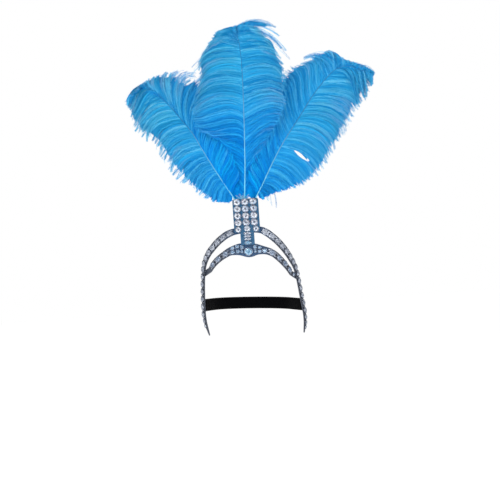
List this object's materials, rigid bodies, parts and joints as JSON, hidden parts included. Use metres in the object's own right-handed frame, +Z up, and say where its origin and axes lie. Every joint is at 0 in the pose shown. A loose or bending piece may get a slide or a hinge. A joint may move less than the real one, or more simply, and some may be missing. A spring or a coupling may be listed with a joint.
{
  "type": "feather headband",
  "caption": "Worn headband with an arch, a forehead band, a crystal-set post, tall ostrich plumes above it and an elastic strap round the back of the head.",
  "frame": {"origin": "inner face of the front band at the middle of the forehead, where the headband sits on the head", "axes": "+Z up along the plumes, -Y out of the forehead towards the viewer, +X to the viewer's right"},
  "size_m": [0.4315, 0.2155, 0.5568],
  "materials": {
    "backing_cloth": "matte",
    "band_backing": "matte",
    "silver_setting": "polished",
    "crystal": "polished",
    "blue_crystal": "polished",
    "blue_plume": "matte",
    "black_elastic": "matte"
  },
  "bodies": {
    "root": {"outer_arch": "band_backing", "front_band": "band_backing", "crest": "backing_cloth", "arch_stones_left": "silver_setting", "arch_stones_right": "silver_setting", "band_stones_left": "silver_setting", "band_stones_right": "silver_setting", "post_stone_left_1": "crystal", "post_stone_left_2": "crystal", "post_stone_left_3": "crystal", "post_stone_left_4": "crystal", "post_stone_left_5": "crystal", "post_stone_middle_1": "crystal", "post_stone_middle_2": "crystal", "post_stone_middle_3": "crystal", "post_stone_middle_4": "crystal", "post_stone_right_1": "crystal", "post_stone_right_2": "crystal", "post_stone_right_3": "crystal", "post_stone_right_4": "crystal", "post_stone_right_5": "crystal", "stem_stone_1": "crystal", "stem_stone_2": "crystal", "stem_stone_3": "crystal", "stem_stone_4": "crystal", "stem_lozenge": "blue_crystal", "drop_stone": "blue_crystal", "cluster_stone_left_1": "crystal", "cluster_stone_left_2": "crystal", "cluster_stone_left_3": "crystal", "cluster_stone_left_4": "crystal", "cluster_stone_left_5": "crystal", "cluster_stone_left_6": "crystal", "cluster_stone_right_1": "crystal", "cluster_stone_right_2": "crystal", "cluster_stone_right_3": "crystal", "cluster_stone_right_4": "crystal", "cluster_stone_right_5": "crystal", "plume_left": "blue_plume", "plume_middle": "blue_plume", "plume_right": "blue_plume", "elastic_strap": "black_elastic"}
  },
  "joints": []
}
